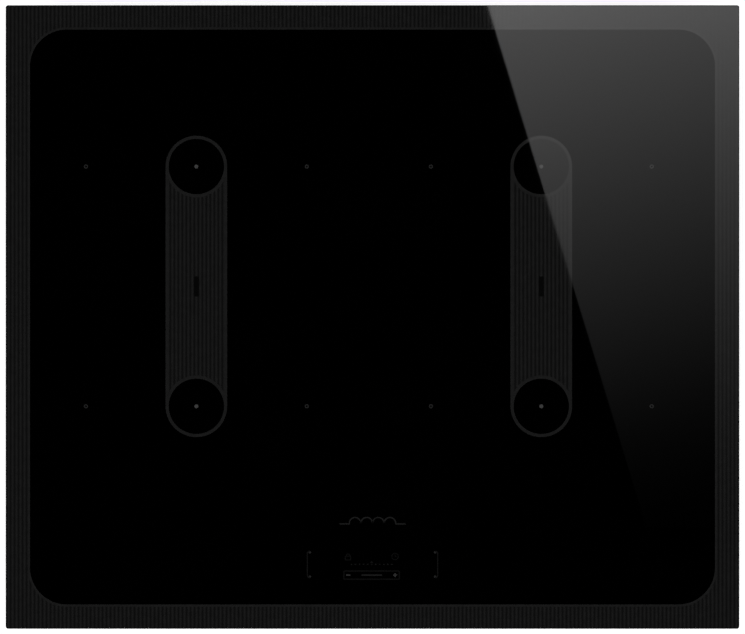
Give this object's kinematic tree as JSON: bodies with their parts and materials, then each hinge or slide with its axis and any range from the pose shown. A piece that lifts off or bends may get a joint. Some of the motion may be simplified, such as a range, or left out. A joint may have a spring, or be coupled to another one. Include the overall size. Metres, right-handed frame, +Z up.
{
  "type": "built-in induction cooktop",
  "caption": "Black glass induction cooktop with two bridged cooking zones and a front touch control, built on a vented steel tray with swivelling worktop clamps.",
  "frame": {"origin": "centre of the tray's underside, directly under the centre of the glass", "axes": "+X to the cook's right along the glass's long side, +Y to the rear, +Z up out of the glass; the touch control is at -Y"},
  "size_m": [0.6, 0.51, 0.054],
  "materials": {
    "ceramic_glass": "gloss",
    "seal_foam": "matte",
    "galvanised_steel": "satin",
    "clamp_steel": "satin",
    "screw_steel": "satin",
    "aluminium_sheet": "satin",
    "former_plastic": "matte",
    "winding_wire": "satin",
    "mica_sheet": "matte",
    "sensor_ceramic": "matte",
    "circuit_board": "satin",
    "fan_plastic": "matte",
    "duct_plastic": "matte",
    "choke_ferrite": "matte",
    "terminal_plastic": "matte",
    "terminal_cream": "matte",
    "wire_insulation": "satin",
    "ribbon_plastic": "satin"
  },
  "bodies": {
    "casing": {"base_tray": "galvanised_steel", "control_ribbon": "ribbon_plastic", "filter_board": "circuit_board", "filter_choke": "choke_ferrite", "front_left_clamp_screw": "screw_steel", "front_left_coil_spring": "screw_steel", "front_rail": "galvanised_steel", "front_right_clamp_screw": "screw_steel", "front_right_coil_spring": "screw_steel", "glass_panel": "ceramic_glass", "left_air_duct": "duct_plastic", "left_fan_housing": "fan_plastic", "left_heat_sink": "aluminium_sheet", "left_power_board": "circuit_board", "left_rail": "galvanised_steel", "left_shield_plate": "aluminium_sheet", "left_supply_lead": "wire_insulation", "mains_lead": "wire_insulation", "rear_left_clamp_screw": "screw_steel", "rear_left_coil_spring": "screw_steel", "rear_rail": "galvanised_steel", "rear_right_clamp_screw": "screw_steel", "rear_right_coil_spring": "screw_steel", "right_air_duct": "duct_plastic", "right_fan_housing": "fan_plastic", "right_heat_sink": "aluminium_sheet", "right_power_board": "circuit_board", "right_rail": "galvanised_steel", "right_shield_plate": "aluminium_sheet", "right_supply_lead": "wire_insulation", "rim_seal": "seal_foam", "terminal_block": "terminal_cream", "terminal_box": "terminal_plastic", "touch_board": "circuit_board", "touch_board_carrier": "fan_plastic"},
    "left_fan": {"left_fan_rotor": "fan_plastic"},
    "right_fan": {"right_fan_rotor": "fan_plastic"},
    "rear_left_coil": {"rear_left_coil_former": "former_plastic", "rear_left_coil_winding": "winding_wire", "rear_left_mica_disc": "mica_sheet", "rear_left_heat_sensor": "sensor_ceramic"},
    "front_left_coil": {"front_left_coil_former": "former_plastic", "front_left_coil_winding": "winding_wire", "front_left_mica_disc": "mica_sheet", "front_left_heat_sensor": "sensor_ceramic"},
    "rear_right_coil": {"rear_right_coil_former": "former_plastic", "rear_right_coil_winding": "winding_wire", "rear_right_mica_disc": "mica_sheet", "rear_right_heat_sensor": "sensor_ceramic"},
    "front_right_coil": {"front_right_coil_former": "former_plastic", "front_right_coil_winding": "winding_wire", "front_right_mica_disc": "mica_sheet", "front_right_heat_sensor": "sensor_ceramic"},
    "rear_left_swivel_clamp": {"rear_left_clamp": "clamp_steel"},
    "front_left_swivel_clamp": {"front_left_clamp": "clamp_steel"},
    "rear_right_swivel_clamp": {"rear_right_clamp": "clamp_steel"},
    "front_right_swivel_clamp": {"front_right_clamp": "clamp_steel"},
    "terminal_lid": {"terminal_cover": "terminal_plastic"}
  },
  "joints": [
    {"name": "left_fan_spin", "type": "hinge", "parent": "casing", "child": "left_fan", "pos_m": [-0.13, 0.112, 0.014], "axis": [0, 0, 1], "continuous": true},
    {"name": "right_fan_spin", "type": "hinge", "parent": "casing", "child": "right_fan", "pos_m": [0.13, 0.112, 0.014], "axis": [0, 0, 1], "continuous": true},
    {"name": "rear_left_coil_float", "type": "slide", "parent": "casing", "child": "rear_left_coil", "axis": [0, 0, -1], "range_m": [0, 0.003], "stiffness_N_per_m": 1500, "springref_m": -0.008, "deforming": ["rear_left_coil_spring"]},
    {"name": "front_left_coil_float", "type": "slide", "parent": "casing", "child": "front_left_coil", "axis": [0, 0, -1], "range_m": [0, 0.003], "stiffness_N_per_m": 1500, "springref_m": -0.008, "deforming": ["front_left_coil_spring"]},
    {"name": "rear_right_coil_float", "type": "slide", "parent": "casing", "child": "rear_right_coil", "axis": [0, 0, -1], "range_m": [0, 0.003], "stiffness_N_per_m": 1500, "springref_m": -0.008, "deforming": ["rear_right_coil_spring"]},
    {"name": "front_right_coil_float", "type": "slide", "parent": "casing", "child": "front_right_coil", "axis": [0, 0, -1], "range_m": [0, 0.003], "stiffness_N_per_m": 1500, "springref_m": -0.008, "deforming": ["front_right_coil_spring"]},
    {"name": "rear_left_clamp_swivel", "type": "hinge", "parent": "casing", "child": "rear_left_swivel_clamp", "pos_m": [-0.262, 0.08, 0.0043], "axis": [0, 0, 1], "range_deg": [0, 90]},
    {"name": "front_left_clamp_swivel", "type": "hinge", "parent": "casing", "child": "front_left_swivel_clamp", "pos_m": [-0.262, -0.15, 0.0043], "axis": [0, 0, 1], "range_deg": [0, 90]},
    {"name": "rear_right_clamp_swivel", "type": "hinge", "parent": "casing", "child": "rear_right_swivel_clamp", "pos_m": [0.262, 0.08, 0.0043], "axis": [0, 0, -1], "range_deg": [0, 90]},
    {"name": "front_right_clamp_swivel", "type": "hinge", "parent": "casing", "child": "front_right_swivel_clamp", "pos_m": [0.262, -0.15, 0.0043], "axis": [0, 0, -1], "range_deg": [0, 90]},
    {"name": "terminal_lid_hinge", "type": "hinge", "parent": "casing", "child": "terminal_lid", "pos_m": [0.209, 0.2425, 0.031], "axis": [1, 0, 0], "range_deg": [0, 95]}
  ]
}
